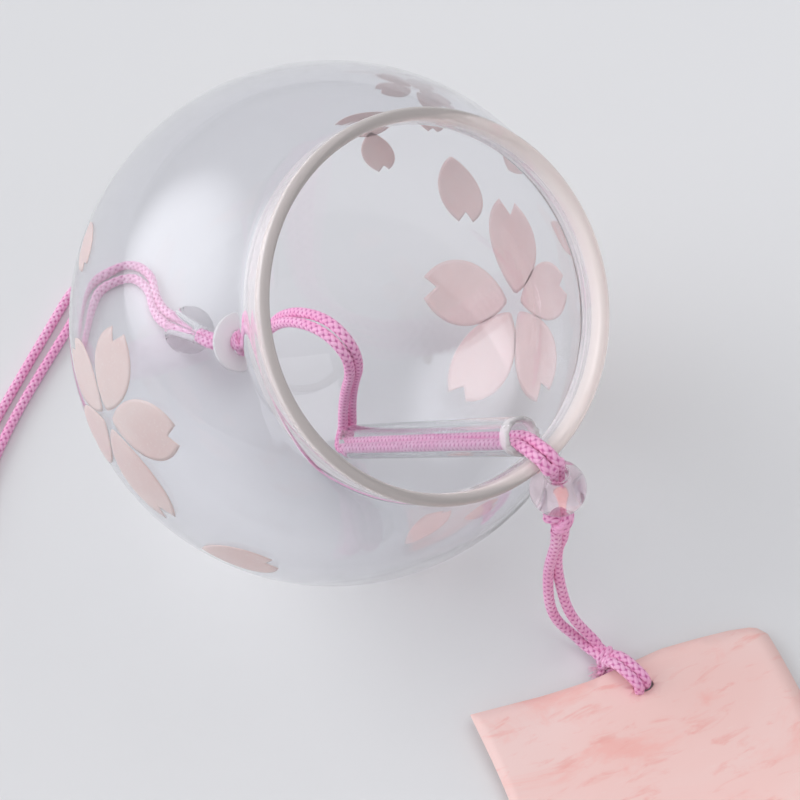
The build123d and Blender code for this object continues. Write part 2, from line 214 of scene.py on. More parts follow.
tail_routes = [in_mm([(51.2, 0.8, 1.3), (50.8, 0, 1.2), (50.3, -0.8, 1.25)]),
               in_mm([(51.5, 0.6, 0.9), (51.4, -0.5, 0.8), (51.2, -1.7, 0.9)])]


# Materials

def colour(red, green, blue):
    """A surface colour from its screen values, 0 to 255."""
    def linear(value):
        value /= 255
        return value / 12.92 if value <= 0.04045 else ((value + 0.055) / 1.055) ** 2.4
    return (linear(red), linear(green), linear(blue), 1)


def give(tree, node, inputs):
    """Set inputs of a node, each to a value or to another node's output."""
    for key, value in inputs.items():
        if isinstance(value, bpy.types.NodeSocket):
            tree.links.new(value, node.inputs[key])
        else:
            node.inputs[key].default_value = value


def add(tree, kind, inputs=None, **settings):
    """One new shader node."""
    made = tree.nodes.new(kind)
    for key, value in settings.items():
        setattr(made, key, value)
    give(tree, made, inputs or {})
    return made


def calc(tree, operation, *values):
    """The result of one Math node."""
    return add(tree, "ShaderNodeMath", dict(enumerate(values)), operation=operation).outputs[0]


def blend_colours(tree, share, first, second):
    """A colour between two, by a share."""
    return add(tree, "ShaderNodeMix", {"Factor": share, 6: first, 7: second}, data_type="RGBA").outputs[2]


def remap(tree, value, low, high, to_low, to_high):
    """A value moved smoothly from one range to another."""
    return add(tree, "ShaderNodeMapRange", {0: value, 1: low, 2: high, 3: to_low, 4: to_high},
               interpolation_type="SMOOTHSTEP").outputs[0]


def on_object(tree):
    """The place on the object, for a pattern to lie on."""
    return add(tree, "ShaderNodeTexCoord").outputs["Object"]


def cloudy(tree, place, scale, detail, **more):
    """A pattern of soft clouds, 0 to 1."""
    return add(tree, "ShaderNodeTexNoise", {"Vector": place, "Scale": scale, "Detail": detail, **more}).outputs[0]


def bumpy(tree, height, strength, depth):
    """The surface's direction with a fine relief."""
    return add(tree, "ShaderNodeBump", {"Strength": strength, "Distance": depth, "Height": height}).outputs[0]


def new_group(name, inputs, outputs):
    """An empty shader node group with named sockets."""
    tree = bpy.data.node_groups.new(name, "ShaderNodeTree")
    for way, sockets in (("INPUT", inputs), ("OUTPUT", outputs)):
        for label, kind in sockets.items():
            tree.interface.new_socket(label, in_out=way, socket_type=kind)
    return tree, tree.nodes.new("NodeGroupInput").outputs, tree.nodes.new("NodeGroupOutput")


def new_finish(name):
    """A material with one Principled shader, ready for its nodes."""
    finish = bpy.data.materials.new(name)
    finish.use_nodes = True
    tree = finish.node_tree
    tree.nodes.clear()
    shader = tree.nodes.new("ShaderNodeBsdfPrincipled")
    output = add(tree, "ShaderNodeOutputMaterial", {"Surface": shader.outputs[0]})
    return finish, tree, shader, output


def braid_group():
    """Crossing yarns of a round braid: their height, and a mask of the low gaps between them, where shade is
    painted.
    """
    number = "NodeSocketFloat"
    tree, given, result = new_group("braid", {"Along and around": "NodeSocketVector", "Yarns": number},
                                    {"Height": number, "Gap shade": number})
    place = add(tree, "ShaderNodeSeparateXYZ", {0: given[0]}).outputs
    turn = calc(tree, "MULTIPLY", place[1], given[1])
    first, second = [calc(tree, "COSINE", calc(tree, "MULTIPLY", calc(tree, way, turn, place[0]), pi))
                     for way in ("SUBTRACT", "ADD")]
    heights = []
    for yarn, other, lift in ((first, second, yarn_crossing), (second, first, -yarn_crossing)):
        crown = calc(tree, "MULTIPLY", calc(tree, "MULTIPLY", calc(tree, "SIGN", yarn), other), lift)
        round_back = calc(tree, "POWER", calc(tree, "ABSOLUTE", yarn), yarn_roundness)
        heights.append(calc(tree, "MULTIPLY", round_back, calc(tree, "ADD", crown, 1 - yarn_crossing)))
    height = calc(tree, "MAXIMUM", *heights)
    # The gap mask is where the cord's finish paints shade between the yarns
    give(tree, result, {"Height": height, "Gap shade": remap(tree, height, 0.38, 0.82, 1, 0)})
    return tree


def smudge_group():
    """Faint cloudy marks: the roughness and the fine relief of clear surfaces."""
    number = "NodeSocketFloat"
    tree, given, result = new_group(
        "smudges", {"Position": "NodeSocketVector", "Size": number, "Least": number, "Most": number},
        {"Roughness": number, "Height": number})
    clouds = cloudy(tree, given["Position"], given["Size"], 2.0, Roughness=0.5)
    span = calc(tree, "SUBTRACT", given["Most"], given["Least"])
    marks = calc(tree, "MULTIPLY", remap(tree, clouds, 0.45, 0.75, 0, 1), span)
    give(tree, result, {"Roughness": calc(tree, "ADD", marks, given["Least"]), "Height": clouds})
    return tree


braid = braid_group()
smudges = smudge_group()


def cord_finish():
    """Soft pink braid with painted shade in its gaps and painted sheen along fine fibres."""
    finish, tree, shader, _ = new_finish("pink_braid")
    place = add(tree, "ShaderNodeUVMap", uv_map="braid").outputs[0]
    weave = add(tree, "ShaderNodeGroup", {"Along and around": place, "Yarns": float(yarns)}, node_tree=braid).outputs
    fine = add(tree, "ShaderNodeMapping", {"Vector": place, "Scale": (5.0, 90.0, 1.0)}).outputs[0]
    fibres = cloudy(tree, fine, 1.0, 3.0)
    tones = remap(tree, cloudy(tree, on_object(tree), 260.0, 2.0), 0.35, 0.65, 0, 1)
    yarn = blend_colours(tree, tones, colour(252, 172, 216), colour(255, 194, 228))
    # Painted sheen: fine fibre streaks turn paler, towards the sheen's own pink
    yarn_with_painted_sheen = blend_colours(tree, remap(tree, fibres, 0.3, 0.7, 0, 0.35), yarn, colour(255, 214, 238))
    relief = calc(tree, "ADD", calc(tree, "MULTIPLY", weave["Height"], 0.8), calc(tree, "MULTIPLY", fibres, 0.25))
    # Painted shade: the gaps between the yarns turn a deeper pink
    give(tree, shader, {"Base Color": blend_colours(tree, weave["Gap shade"], yarn_with_painted_sheen, colour(210, 106, 168)),
                        "Normal": bumpy(tree, relief, 0.8, 0.12 * mm),
                        "Roughness": remap(tree, fibres, 0, 1, 0.38, 0.6),
                        "Sheen Weight": 0.3, "Sheen Tint": colour(255, 215, 238)})
    return finish


def fray_finish():
    """Pale loose fibres of the cord's cut ends."""
    finish, tree, shader, _ = new_finish("pale_fibres")
    tones = cloudy(tree, on_object(tree), 1500.0, 2.0)
    give(tree, shader, {"Base Color": blend_colours(tree, tones, colour(240, 175, 205), colour(255, 228, 240)),
                        "Roughness": 0.7, "Sheen Weight": 0.4})
    return finish


def glass_finish(name, tint, shadow, size, least, most, waves, clear=1.0, thick=False, bend=1.5):
    """Glass with faint marks, clear or part milky white; lamps shine through it on to what it covers.

    Thick glass also turns a little grey with its depth. The waves are in millimetres.
    """
    finish, tree, shader, output = new_finish(name)
    marks = add(tree, "ShaderNodeGroup", {"Position": on_object(tree), "Size": size, "Least": least, "Most": most},
                node_tree=smudges).outputs
    give(tree, shader, {"Base Color": colour(*tint), "Roughness": marks["Roughness"],
                        "Normal": bumpy(tree, marks["Height"], 0.06, waves * mm),
                        "Transmission Weight": clear, "IOR": bend})
    path = tree.nodes.new("ShaderNodeLightPath").outputs["Is Shadow Ray"]
    pass_light = add(tree, "ShaderNodeBsdfTransparent", {"Color": (*shadow, 1)}).outputs[0]
    choice = add(tree, "ShaderNodeMixShader", {0: path, 1: shader.outputs[0], 2: pass_light})
    give(tree, output, {"Surface": choice.outputs[0]})
    if thick:
        body = add(tree, "ShaderNodeVolumeAbsorption", {"Color": (0.5, 0.52, 0.54, 1), "Density": 60.0})
        give(tree, output, {"Volume": body.outputs[0]})
    return finish


def petal_finish():
    """Pale pink paint that lets a little light through, with a soft gloss and faint brush tone."""
    finish, tree, shader, _ = new_finish("petal_paint")
    spot = on_object(tree)
    tones = cloudy(tree, spot, 90.0, 3.0)
    grain = cloudy(tree, spot, 2600.0, 2.0)
    wash = blend_colours(tree, remap(tree, tones, 0.35, 0.65, 0, 1), colour(231, 196, 192), colour(237, 206, 201))
    speck = blend_colours(tree, remap(tree, grain, 0.55, 0.8, 0, 0.3), wash, colour(246, 228, 224))
    give(tree, shader, {"Base Color": speck, "Normal": bumpy(tree, grain, 0.15, 0.02 * mm),
                        "Roughness": remap(tree, tones, 0.3, 0.7, 0.32, 0.45), "Specular IOR Level": 0.4,
                        "Subsurface Weight": 0.6, "Subsurface Radius": (1, 0.75, 0.72),
                        "Subsurface Scale": 0.6 * mm})
    return finish


def washer_finish():
    """White moulded plastic."""
    finish, tree, shader, _ = new_finish("white_plastic")
    grain = cloudy(tree, on_object(tree), 900.0, 3.0)
    give(tree, shader, {"Base Color": blend_colours(tree, grain, colour(249, 248, 247), colour(255, 254, 253)),
                        "Normal": bumpy(tree, grain, 0.1, 0.02 * mm),
                        "Roughness": remap(tree, grain, 0, 1, 0.35, 0.5)})
    return finish


def paper_finish():
    """Handmade pink paper: cloudy darker streaks across the strip and fine long fibres."""
    finish, tree, shader, _ = new_finish("pink_paper")
    place = add(tree, "ShaderNodeUVMap", uv_map="sheet").outputs[0]

    def streaks(scale, stretch, turn, detail):
        laid = add(tree, "ShaderNodeMapping", {"Vector": place, "Rotation": (0, 0, turn),
                                               "Scale": (scale * stretch, scale, 1)}).outputs[0]
        return cloudy(tree, laid, 1.0, detail, Roughness=0.6, Distortion=0.6)

    fibres = streaks(420, 9.0, -0.1, 4.0)
    wisps = streaks(150, 4.0, 0.2, 6.0)
    paper = colour(254, 212, 205)
    for pattern, low, high, most, tone in (
            (streaks(26, 1.6, 0.1, 3.0), 0.35, 0.65, 1, (254, 220, 214)),
            (streaks(62, 2.2, 0.12, 5.0), 0.5, 0.7, 0.55, (254, 179, 169)),
            (wisps, 0.54, 0.72, 0.5, (246, 164, 154)),
            (fibres, 0.6, 0.78, 0.35, (254, 233, 226))):
        paper = blend_colours(tree, remap(tree, pattern, low, high, 0, most), paper, colour(*tone))
    relief = calc(tree, "ADD", calc(tree, "MULTIPLY", fibres, 0.6), calc(tree, "MULTIPLY", wisps, 0.6))
    give(tree, shader, {"Base Color": paper, "Normal": bumpy(tree, relief, 0.3, 0.06 * mm),
                        "Roughness": remap(tree, fibres, 0.2, 0.8, 0.62, 0.82),
                        "Specular IOR Level": 0.25, "Sheen Weight": 0.1})
    return finish


def floor_finish():
    """Pale matt table top."""
    finish, tree, shader, _ = new_finish("pale_table")
    tones = cloudy(tree, on_object(tree), 14.0, 3.0)
    give(tree, shader, {"Base Color": blend_colours(tree, tones, colour(228, 228, 229), colour(232, 232, 232)),
                        "Roughness": 0.85, "Specular IOR Level": 0.2})
    return finish


pink_braid = cord_finish()
pale_fibres = fray_finish()
bell_glass = glass_finish("bell_glass", (250, 250, 252), (0.965, 0.965, 0.97), 55, 0, 0.03, 0.05, thick=True)
# Painted light: the neck and lip glass are part milky white, standing in for light that their thick clear glass lets
# through
neck_glass = glass_finish("neck_glass", (245, 240, 240), (0.95, 0.95, 0.95), 90, 0.01, 0.05, 0.03, clear=0.78)
lip_glass = glass_finish("lip_glass", (250, 240, 236), (0.85, 0.85, 0.85), 120, 0.02, 0.08, 0.03, clear=0.5)
tube_glass = glass_finish("tube_glass", (250, 251, 252), (0.95, 0.95, 0.96), 260, 0, 0.05, 0.05, thick=True)
broken_glass = glass_finish("broken_glass", (250, 246, 246), (0.85, 0.85, 0.85), 700, 0.08, 0.3, 0.1, clear=0.5)
clear_bead = glass_finish("clear_bead", (250, 249, 250), (0.86, 0.86, 0.87), 400, 0.01, 0.07, 0.03, bend=1.22)
blush_bead = glass_finish("blush_bead", (240, 224, 231), (0.85, 0.76, 0.8), 400, 0.01, 0.07, 0.03)
petal_paint = petal_finish()
white_plastic = washer_finish()
pink_paper = paper_finish()


# Meshes

def put_in_scene(name, data):
    """A new object of the scene."""
    made = bpy.data.objects.new(name, data)
    bpy.context.scene.collection.objects.link(made)
    return made


def piece(name, vertices, faces, finish, uvs=None, uv_name="sheet"):
    """A mesh object in the scene with smooth faces that point outwards."""
    mesh = bpy.data.meshes.new(name)
    mesh.from_pydata([tuple(v) for v in vertices], [], faces)
    if uvs is not None:
        layer = mesh.uv_layers.new(name=uv_name)
        layer.data.foreach_set("uv", np.asarray(uvs, float).ravel())
    shell = bmesh.new()
    shell.from_mesh(mesh)
    bmesh.ops.recalc_face_normals(shell, faces=shell.faces)
    shell.to_mesh(mesh)
    shell.free()
    mesh.shade_smooth()
    mesh.materials.append(finish)
    return put_in_scene(name, mesh)


def join_pieces(name, parts):
    """Several meshes made one piece that keeps their finishes."""
    finishes = list(dict.fromkeys(finish for part in parts for finish in part.data.materials))
    whole = bmesh.new()
    for part in parts:
        start = len(whole.faces)
        whole.from_mesh(part.data)
        whole.faces.ensure_lookup_table()
        slots = [finishes.index(finish) for finish in part.data.materials]
        for face in whole.faces[start:]:
            face.material_index = slots[face.material_index]
        bpy.data.objects.remove(part)
    mesh = bpy.data.meshes.new(name)
    whole.to_mesh(mesh)
    whole.free()
    for finish in finishes:
        mesh.materials.append(finish)
    return put_in_scene(name, mesh)


def skin(rings, sides, closed=False):
    """The quads between rings of points, each ring joined to the next."""
    faces = []
    for ring in range(rings if closed else rings - 1):
        here, ahead = ring * sides, (ring + 1) % rings * sides
        for spot in range(sides):
            following = (spot + 1) % sides
            faces.append((here + spot, here + following, ahead + following, ahead + spot))
    return faces


def arc(centre, radius, start, end, steps):
    """Points of a circular arc in a profile, angles in degrees from the outward way."""
    angles = [radians(start + (end - start) * step / steps) for step in range(steps + 1)]
    return [(centre[0] + radius * cos(angle), centre[1] + radius * sin(angle)) for angle in angles]


def turned(name, profile, place, finish, segments, shaped=None):
    """A closed profile of (out, height) points turned about the height axis, each point then shaped."""
    vertices = []
    for step in range(segments):
        angle = 2 * pi * step / segments
        for out, height in profile:
            point = Vector((out * cos(angle), out * sin(angle), height))
            vertices.append(place @ (shaped(point) if shaped else point))
    return piece(name, vertices, skin(segments, len(profile), closed=True), finish)


def finish_end(made, place, height, finish):
    """Give the faces above a height of the piece's own frame a further finish."""
    made.data.materials.append(finish)
    to_own = place.inverted()
    for face in made.data.polygons:
        if (to_own @ face.center).z > height:
            face.material_index = len(made.data.materials) - 1


def dress(made, body, slot, *nodes):
    """Let a finished piece ride on its body and stand for its nodes. The slot is not used."""
    if body:
        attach(made, body)
    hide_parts(*nodes)


def heading(turn, slope):
    """A direction from its turn about Z off +X and its slope up from there, in degrees."""
    turn, slope = radians(turn), radians(slope)
    return Vector((cos(turn) * cos(slope), sin(turn) * cos(slope), sin(slope)))


def share_of(value):
    """A value kept between 0 and 1."""
    return min(1, max(0, value))


def read_off(table, spots):
    """Values at some places, from a table of (place, value) pairs."""
    return np.interp(spots, *zip(*table))


def smoothed(values, rounds):
    """Values evened out with their neighbours, the two ends kept."""
    for _ in range(rounds):
        values[1:-1] = (values[:-2] + 2 * values[1:-1] + values[2:]) / 4
    return values


# Cord

def smooth_line(points):
    """The points along the smooth curve that a route's control points pull."""
    curve = bpy.data.curves.new("route", "CURVE")
    curve.dimensions = "3D"
    curve.resolution_u = 16
    spline = curve.splines.new("NURBS")
    spline.points.add(len(points) - 1)
    for slot, point in zip(spline.points, points):
        slot.co = (*point, 1)
    spline.order_u = 3
    spline.use_endpoint_u = True
    holder = put_in_scene("route", curve)
    bpy.context.view_layer.update()
    mesh = bpy.data.meshes.new_from_object(holder)
    line = np.array([vertex.co for vertex in mesh.vertices])
    bpy.data.objects.remove(holder)
    bpy.data.meshes.remove(mesh)
    bpy.data.curves.remove(curve)
    return line


def arc_length(line):
    """How far along a line each of its points is."""
    return np.concatenate([[0], np.cumsum(np.linalg.norm(np.diff(line, axis=0), axis=1))])


def evenly(line, step):
    """A line's points at an even spacing, and how far along it they are."""
    reach = arc_length(line)
    places = np.linspace(0, reach[-1], max(2, round(reach[-1] / step) + 1))
    return np.column_stack([np.interp(places, reach, line[:, axis]) for axis in range(3)]), places


def cut_line(line, spot):
    """The two parts of a line, before and after the point of it that is nearest to a place."""
    at = int(np.argmin(np.linalg.norm(line - np.array(spot), axis=1)))
    return line[:at + 1], line[at:]


def ways_round(line):
    """Two directions square to a line at each of its points, carried along it without twist."""
    tangents = np.gradient(line, axis=0)
    tangents /= np.linalg.norm(tangents, axis=1)[:, None]
    start = np.cross(tangents[0], up if abs(tangents[0][2]) < 0.9 else side)
    first = [start / np.linalg.norm(start)]
    for tangent in tangents[1:]:
        way = first[-1] - tangent * np.dot(first[-1], tangent)
        first.append(way / np.linalg.norm(way))
    first = np.array(first)
    return first, np.cross(tangents, first)


def braid_height(around, along):
    """How far the crossing yarns stand out, 0 to 1, as the braid group has it."""
    first = np.cos(pi * (yarns * around - along))
    second = np.cos(pi * (yarns * around + along))
    over = np.abs(first) ** yarn_roundness * (1 - yarn_crossing + yarn_crossing * np.sign(first) * second)
    under = np.abs(second) ** yarn_roundness * (1 - yarn_crossing - yarn_crossing * np.sign(second) * first)
    return np.maximum(over, under)


def braided(name, line, widths=((0, strand_d), (1, strand_d)), start_at=0.0, sides=40, step=0.11 * mm):
    """A round braid along a line; widths are its thickness at shares of its length."""
    centres, reach = evenly(line, step)
    first, second = ways_round(centres)
    rings = len(centres)
    around = np.arange(sides) / sides
    along = (reach + start_at) / gap_spacing
    width = read_off(widths, reach / reach[-1])
    height = braid_height(around[None, :], along[:, None])
    radius = width[:, None] / 2 * (1 - braid_relief * (1 - height))
    turn = 2 * pi * around[None, :, None]
    points = (centres[:, None, :] + radius[:, :, None]
              * (np.cos(turn) * first[:, None, :] + np.sin(turn) * second[:, None, :])).reshape(-1, 3)
    faces = skin(rings, sides)
    uvs = [(along[ring + ahead], (spot + over) / sides) for ring in range(rings - 1) for spot in range(sides)
           for ahead, over in ((0, 0), (0, 1), (1, 1), (1, 0))]
    for start, ring, order in ((0, 0, range(sides - 1, -1, -1)), (sides, rings - 1, range(sides))):
        faces.append([len(points) + start + spot for spot in order])
        uvs += [(along[ring], spot / sides) for spot in order]
    return piece(name, np.concatenate([points, points[:sides], points[-sides:]]), faces, pink_braid, uvs, "braid")


def knotted(name, start, way, across, height, width, strand, turn=0.0):
    """A tied knot: two strands side by side on a trefoil's course, over a filled core."""
    over = way.cross(across)
    centre = start + way * (height / 2)
    mean_r = (width - strand) / 2 * 0.66
    swing_r = (width - strand) / 2 * 0.34
    round_steps, overlap = 110, 8
    parts = []
    for shift, seed in ((-0.42, 3), (0.42, 8)):
        course = []
        for step in range(round_steps + overlap):
            angle = 2 * pi * step / round_steps
            wander = noise.noise(Vector((cos(angle) * 1.3, sin(angle) * 1.3, seed)))
            out = mean_r + swing_r * cos(3 * angle + shift * 0.35) + wander * strand * 0.12
            height_here = (height / 2 - strand * 0.95) * sin(3 * angle) + shift * strand
            spin = 2 * angle + turn
            course.append(centre + across * (out * cos(spin)) + over * (out * sin(spin)) + way * height_here)
        parts.append(braided(name + "_turn", np.array(course), ((0, strand), (1, strand)), sides=24,
                             step=0.14 * mm))
    core = [(width / 2 * 0.6 * cos(radians(angle)), height / 2 * 0.86 * sin(radians(angle)))
            for angle in range(-85, 90, 10)]
    core = [(0.02 * mm, -height / 2 * 0.87)] + core + [(0.02 * mm, height / 2 * 0.87)]
    parts.append(turned(name + "_core", core, along_axes(centre, across, over, way), pink_braid, 24))
    return join_pieces(name, parts)


strand_shares = (("near", -0.5), ("far", 0.5))


def long_strands():
    """The two strands from the crown knot over into the tube, out over the lip and down through the bead.

    Each is one line, cut in the tube and on the lip, where the pieces that move apart meet.
    """
    entry = lower_bead_centre - bore_way * bead_face
    rim_reach = lip_r + 0.62 * strand_d
    for name, share in strand_shares:
        offset = side * (share * strand_pitch)
        tight = side * (share * squeezed_pitch)
        slid = offset - side * rim_slide
        start = crown_knot_top + offset
        mouth = tube_line_low + offset
        end = tube_line_high + offset
        midway = mouth.lerp(end, 0.4)
        over = [lip_low + Vector((cos(radians(turn)), 0, sin(radians(turn)))) * rim_reach + slid
                for turn in (106, 78, 52, 26)]
        line = smooth_line([start, start + bell_axis * strand_d] + inner_routes[name]
                           + [mouth - bell_axis * strand_d, mouth, mouth + bell_axis * (3 * strand_d), midway,
                              end - bell_axis * (3 * strand_d), end - bell_axis * (0.5 * strand_d)] + over
                           + [entry - bore_way * strand_d + tight, entry + tight, lower_bead_centre + tight,
                              lower_knot_start + tight, lower_knot_start + bore_way * strand_d + tight])
        inner, rest = cut_line(line, midway)
        rim, drop = cut_line(rest, over[1])
        strand = braided("inner_strand_" + name, inner)
        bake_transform(strand)
        dress(strand, None, "pink_cord", "inner_cord", "tube_cord")

        begun = arc_length(inner)[-1]
        strand = braided("rim_strand_" + name, rim, start_at=begun)
        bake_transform(strand)
        dress(strand, None, "pink_cord", "tube_cord", "rim_cord")

        begun += arc_length(rim)[-1]
        squeeze = 1 - (strand_d + 2 * bead_face) / arc_length(drop)[-1]
        widths = ((0, strand_d), (squeeze - 0.15, strand_d), (squeeze + 0.03, squeezed_d), (1, squeezed_d))
        strand = braided("bead_strand_" + name, drop, widths, begun)
        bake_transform(strand)
        dress(strand, None, "pink_cord", "rim_cord", "lower_bead_core")


def strip_strands():
    """The strands from the lower knot down to the paper's tie."""
    for name, share in strand_shares:
        offset = side * (share * strand_pitch)
        start = lower_knot_end + offset
        end = tie_left + offset * 0.6
        line = smooth_line([start, start + bore_way * (2 * strand_d)] + strip_routes[name]
                           + [end - Vector((strand_d / 2, 0, 0)), end + Vector((0.8 * strand_d, 0, 0))])
        strand = braided("strip_strand_" + name, line)
        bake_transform(strand)
        dress(strand, None, "pink_cord", "strip_cord")


def crown_strands():
    """The strands from the crown knot out of the pole's hole and through the top bead."""
    outside = on_bell(0, -globe_r - 1.6 * strand_d)
    entry = top_bead_centre - top_way * bead_face
    before = entry - top_way * strand_d
    middle = outside.lerp(before, 0.5) - side * (0.45 * mm) + up * (strand_d / 4)
    widths = ((0, strand_d), (0.5, strand_d), (0.62, squeezed_d), (0.94, squeezed_d), (1, strand_d))
    for name, share in strand_shares:
        wide = side * (share * strand_pitch)
        tight = side * (share * squeezed_pitch)
        line = smooth_line([on_bell(0, crown_knot_floor) + wide, outside + wide, middle + wide, before + tight,
                            entry + tight, top_bead_centre + tight, top_bead_centre + top_way * bead_face + wide])
        strand = braided("crown_strand_" + name, line, widths)
        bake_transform(strand)
        dress(strand, None, "pink_cord", "crown_cord", "top_bead_core")


def hanging_loop():
    """The cord's folded end, out of the top bead and back."""
    out = top_bead_centre + top_way * bead_face
    far = side * (strand_pitch / 2)
    line = smooth_line([out + far, out + far + top_way * strand_d] + loop_route
                       + [out - far + top_way * strand_d, out - far])
    loop = braided("hanging_loop_cord", line, sides=32, step=0.12 * mm)
    dress(loop, "hanger", "pink_cord", "hanging_loop")


def tie_strands():
    """The doubled strands over the paper's edge, down its hole and back under it, with their knot."""
    top = tie_knot_centre.z + tie_leg_pitch / 2
    low = tie_knot_centre.z - tie_leg_pitch / 2
    above = paper_lift + paper_thickness + tie_leg_d
    reach = paper_hole.x - tie_right.x
    course = [(-0.12, top - 0.2 * mm), (-0.04, top + 0.7 * mm), (0.16, above + tie_leg_d * 0.3),
              (0.6, above + tie_leg_d * 0.32), (1.0, above - tie_leg_d * 0.15), (1.0, low - tie_leg_d / 5),
              (0.66, low - tie_leg_d / 8), (0.3, low), (0, low)]
    parts = []
    for _, share in strand_shares:
        points = [Vector((tie_right.x + along * reach, tie_right.y + share * tie_leg_pitch, max(height, 0.8 * mm)))
                  for along, height in course]
        parts.append(braided("tie_leg", smooth_line(points), ((0, tie_leg_d), (1, tie_leg_d)), sides=32))
    dress(join_pieces("tie_loop_strands", parts), "strip", "pink_cord", "tie_loop")
    knot = knotted("tie_wraps", tie_left, Vector((1, 0, 0)), side, tie_knot_length, tie_knot_d, 1.0 * mm, 0.6)
    dress(knot, "strip", "pink_cord", "tie_knot")


def fibre_mesh(name, line, width, sides=5):
    """One loose fibre, thinner towards its tip."""
    centres, reach = evenly(line, 0.2 * mm)
    first, second = ways_round(centres)
    points = []
    for spot, (centre, share) in enumerate(zip(centres, reach / reach[-1])):
        radius = width / 2 * (1 - 0.6 * share)
        for corner in range(sides):
            angle = 2 * pi * corner / sides
            points.append(centre + (first[spot] * cos(angle) + second[spot] * sin(angle)) * radius)
    faces = skin(len(centres), sides)
    faces += [list(range(sides - 1, -1, -1)), list(range(len(points) - sides, len(points)))]
    return piece(name, points, faces, pale_fibres, [(0, 0)] * sum(len(face) for face in faces), "braid")


def frayed_tails():
    """The two short cut ends: braid that opens into loose pale fibres."""
    draw = random.Random(5)
    parts = []
    for route in tail_routes:
        centres, _ = evenly(smooth_line(route), 0.1 * mm)
        short = centres[:int(len(centres) * 0.55)]
        parts.append(braided("tail_braid", short, ((0, 1.0 * mm), (1, 0.9 * mm)), sides=24))
        way = Vector(centres[-1] - centres[-2]).normalized()
        across = way.cross(up).normalized()
        for _ in range(26):
            angle = draw.uniform(0, 2 * pi)
            spread = across * cos(angle) + up * sin(angle)
            root = Vector(short[-1]) + spread * draw.uniform(0.05, 0.38) * mm - way * 0.2 * mm
            length = draw.uniform(0.8, 1.7) * mm
            bend = spread * draw.uniform(0.1, 0.6) * mm + across * draw.uniform(-0.2, 0.2) * mm
            points = [root + way * length * ahead + bend * bent
                      for ahead, bent in ((0, 0), (0.4, 0.3), (0.75, 0.8), (1, 1))]
            for point in points:
                point.z = max(point.z, 0.12 * mm)
            parts.append(fibre_mesh("tail_fibre", smooth_line(points), 0.09 * mm))
    dress(join_pieces("frayed_tails", parts), "strip", "pink_cord", "cord_tails")


def knots():
    """The crown knot on its washer and the knot under the lower bead."""
    crown = knotted("crown_wraps", on_bell(0, crown_knot_floor), bell_axis, side, crown_knot_height, crown_knot_d,
                    1.2 * mm, 0.4)
    dress(crown, "bell", "pink_cord", "crown_knot")
    lower = knotted("lower_wraps", lower_knot_start, bore_way, side, lower_knot_height, lower_knot_d, 1.25 * mm, 1.9)
    dress(lower, "drop", "pink_cord", "lower_knot")


# Glass bell

def blown(point):
    """Blown glass isn't quite true: how far a point of the wall stands out of its round form."""
    return noise.noise(point * 62) * wall_waves


def outline_of_bell():
    """The bell's closed profile of (out, height) points, from the hole's edge round to its inner side."""
    neck_r = neck_bore_r + thin_neck
    inner_r = globe_r - globe_wall
    outer_out = neck_r + neck_blend
    outer_blend = (outer_out, sqrt((globe_r + neck_blend) ** 2 - outer_out ** 2))
    inner_blend_r = neck_blend + thin_neck
    inner_out = neck_bore_r + inner_blend_r
    inner_blend = (inner_out, sqrt((inner_r + inner_blend_r) ** 2 - inner_out ** 2) - wall_shift)
    lip_centre = (neck_bore_r + rolled_r, lip_centre_height)
    join_height = lip_centre_height - sqrt(rolled_r ** 2 - (neck_r - lip_centre[0]) ** 2)
    hole_mid_r = globe_r - hole_edge
    hole_angle = atan2(crown_hole_r + hole_edge, hole_mid_r)
    edge_centre = (hole_mid_r * sin(hole_angle), -hole_mid_r * cos(hole_angle))
    start_turn = degrees(hole_angle) - 90
    blend_turn = degrees(atan2(outer_blend[1], outer_blend[0]))
    inner_turn = degrees(atan2(inner_blend[1] + wall_shift, inner_blend[0]))
    join_turn = degrees(atan2(join_height - lip_centre_height, neck_r - lip_centre[0]))
    profile = arc(edge_centre, hole_edge, start_turn - 180, start_turn, 9)
    profile += arc((0, 0), globe_r, start_turn + 0.8, blend_turn, 84)
    profile += arc(outer_blend, neck_blend, blend_turn + 180, 180, 7)[1:]
    profile += [(neck_r, outer_blend[1] + (join_height - outer_blend[1]) * step / 3) for step in (1, 2)]
    profile += arc(lip_centre, rolled_r, join_turn, 180, 20)
    profile += [(neck_bore_r, lip_centre_height + (inner_blend[1] - lip_centre_height) * step / 4)
                for step in (1, 2, 3)]
    profile += arc(inner_blend, inner_blend_r, 180, inner_turn + 180, 8)
    profile += arc((0, -wall_shift), inner_r, inner_turn, start_turn + 0.8, 84)[1:]
    return profile


def glass_bell():
    """The blown bell: globe, short neck and rolled lip in one wall."""
    neck_start, neck_rise = 24 * mm, 4 * mm

    def wavy(point):
        away = point.normalized()
        on_neck = share_of((point.z - neck_start) / neck_rise)
        shift = blown(away * globe_r) * (1 - 0.6 * on_neck)
        if point.length < globe_r - globe_wall / 2:
            shift += noise.noise(away * 2.4 + Vector((5, 1, 3))) * 0.12 * mm * (1 - on_neck)
        if on_neck == 1:
            shift += noise.noise(Vector((point.x, point.y, 0)) * 90) * 0.04 * mm
        return point + away * shift

    bell = turned("glass_wall", outline_of_bell(), bell_place, bell_glass, 192, wavy)
    # Painted light: part milky white glass on the neck and lip, in place of light that thick clear glass lets
    # through
    finish_end(bell, bell_place, lip_centre_height - painted_light_neck, neck_glass)
    finish_end(bell, bell_place, lip_centre_height - painted_light_lip, lip_glass)
    dress(bell, "bell", "bell_glass", "glass_bell")


# Painted blossoms

# A petal's side: share of its length, share of its half width
petal_side = [(0.0, 0.06), (0.05, 0.26), (0.14, 0.5), (0.28, 0.77), (0.44, 0.95), (0.58, 1.0), (0.72, 0.95),
              (0.85, 0.78), (0.94, 0.57), (1.0, 0.33)]

